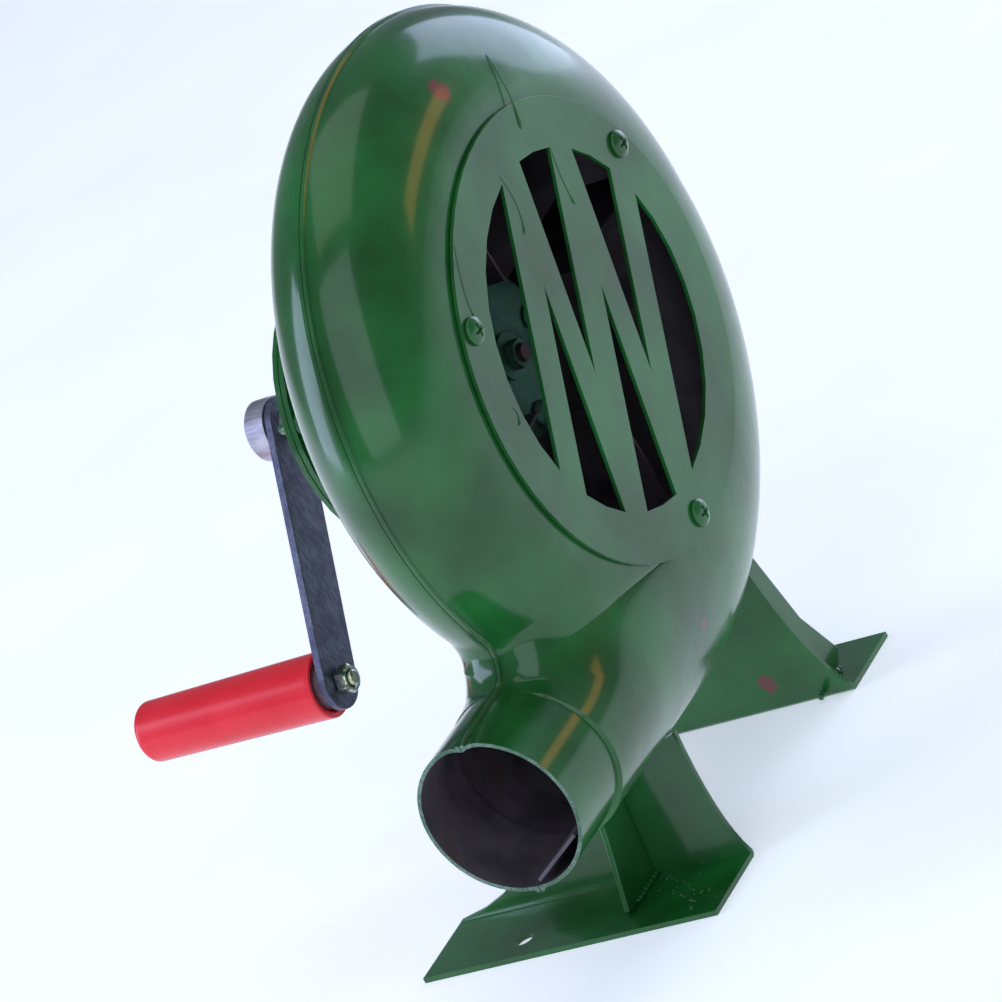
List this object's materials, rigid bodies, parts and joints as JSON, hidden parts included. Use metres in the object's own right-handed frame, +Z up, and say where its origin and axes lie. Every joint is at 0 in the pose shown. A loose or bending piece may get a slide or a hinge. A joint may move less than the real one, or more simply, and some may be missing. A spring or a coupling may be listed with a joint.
{
  "type": "hand cranked forge blower",
  "caption": "Green hand-cranked forge blower with a pressed volute shell, slotted inlet cover, round outlet pipe, gear case, red-grip crank and two sheet-metal legs.",
  "frame": {"origin": "middle of the whole object's bounding box in X and Y, on the floor under the feet", "axes": "+Z up; the inlet cover faces -Y, the crank is at the +Y side and the outlet pipe points to -X; the fan and crank axis runs along Y"},
  "size_m": [0.223, 0.19, 0.2605],
  "materials": {
    "green_enamel": "thick glossy green enamel over pressed steel, with small runs and chips",
    "oversprayed_steel": "bare steel dusted blue-green by paint overspray",
    "bare_dark_steel": "bare dark brown mill-scale steel",
    "zinc_plate": "bright zinc plating, slightly yellow",
    "sintered_bronze": "oil-filled sintered bronze",
    "turned_steel": "light grey turned steel",
    "bare_bar_steel": "blue-grey hot rolled bar, scuffed",
    "red_plastic": "smooth moulded red plastic"
  },
  "bodies": {
    "frame": {"front_shell": "green_enamel", "rear_shell": "green_enamel", "outlet_seam_strap": "green_enamel", "inlet_cover": "green_enamel", "cover_screw_1": "green_enamel", "cover_screw_2": "green_enamel", "cover_screw_3": "green_enamel", "left_leg": "green_enamel", "right_leg": "green_enamel", "left_gusset": "green_enamel", "right_gusset": "green_enamel", "gear_case": "green_enamel", "gear_case_cover": "green_enamel", "case_screw_1": "green_enamel", "case_screw_2": "green_enamel", "case_screw_3": "green_enamel", "case_screw_4": "green_enamel", "case_bolt_1": "bare_dark_steel", "case_bolt_2": "bare_dark_steel", "case_bolt_3": "bare_dark_steel", "case_bolt_4": "bare_dark_steel", "case_nut_1": "zinc_plate", "case_nut_2": "zinc_plate", "case_nut_3": "zinc_plate", "case_nut_4": "zinc_plate", "fan_bushing": "sintered_bronze", "crank_bushing": "sintered_bronze", "idler_pin": "turned_steel"},
    "crank": {"crank_shaft": "turned_steel", "crank_gear": "bare_bar_steel", "crank_arm": "bare_bar_steel", "crank_hub": "turned_steel", "grip_nut": "zinc_plate", "grip_spacer": "turned_steel", "grip_bolt": "zinc_plate"},
    "idler": {"idler_gear": "bare_bar_steel", "idler_pinion": "turned_steel"},
    "fan": {"fan_shaft": "turned_steel", "fan_pinion": "turned_steel", "fan_nut": "bare_dark_steel", "fan_washer": "bare_dark_steel", "fan_disc": "oversprayed_steel", "fan_blade_1": "bare_dark_steel", "fan_blade_2": "bare_dark_steel", "fan_blade_3": "bare_dark_steel", "fan_blade_4": "bare_dark_steel", "blade_bolt_1": "zinc_plate", "blade_bolt_2": "zinc_plate", "blade_bolt_3": "zinc_plate", "blade_bolt_4": "zinc_plate", "blade_nut_1": "zinc_plate", "blade_nut_2": "zinc_plate", "blade_nut_3": "zinc_plate", "blade_nut_4": "zinc_plate"},
    "grip": {"grip": "red_plastic"}
  },
  "joints": [
    {"name": "crank_spin", "type": "hinge", "parent": "frame", "child": "crank", "pos_m": [0.00849, 0, 0.155], "axis": [0, 1, 0], "continuous": true},
    {"name": "idler_spin", "type": "hinge", "parent": "frame", "child": "idler", "pos_m": [0.00849, 0, 0.1718], "axis": [0, 1, 0], "continuous": true},
    {"name": "fan_spin", "type": "hinge", "parent": "frame", "child": "fan", "pos_m": [0.00849, -0.04, 0.155], "axis": [0, 1, 0], "continuous": true},
    {"name": "grip_spin", "type": "hinge", "parent": "crank", "child": "grip", "pos_m": [-0.0322, 0.06, 0.08728], "axis": [0, 1, 0], "continuous": true}
  ],
  "couplings": [
    {"joint": "idler_spin", "follows": "crank_spin", "ratio": -3.2},
    {"joint": "fan_spin", "follows": "crank_spin", "ratio": 10.24}
  ]
}
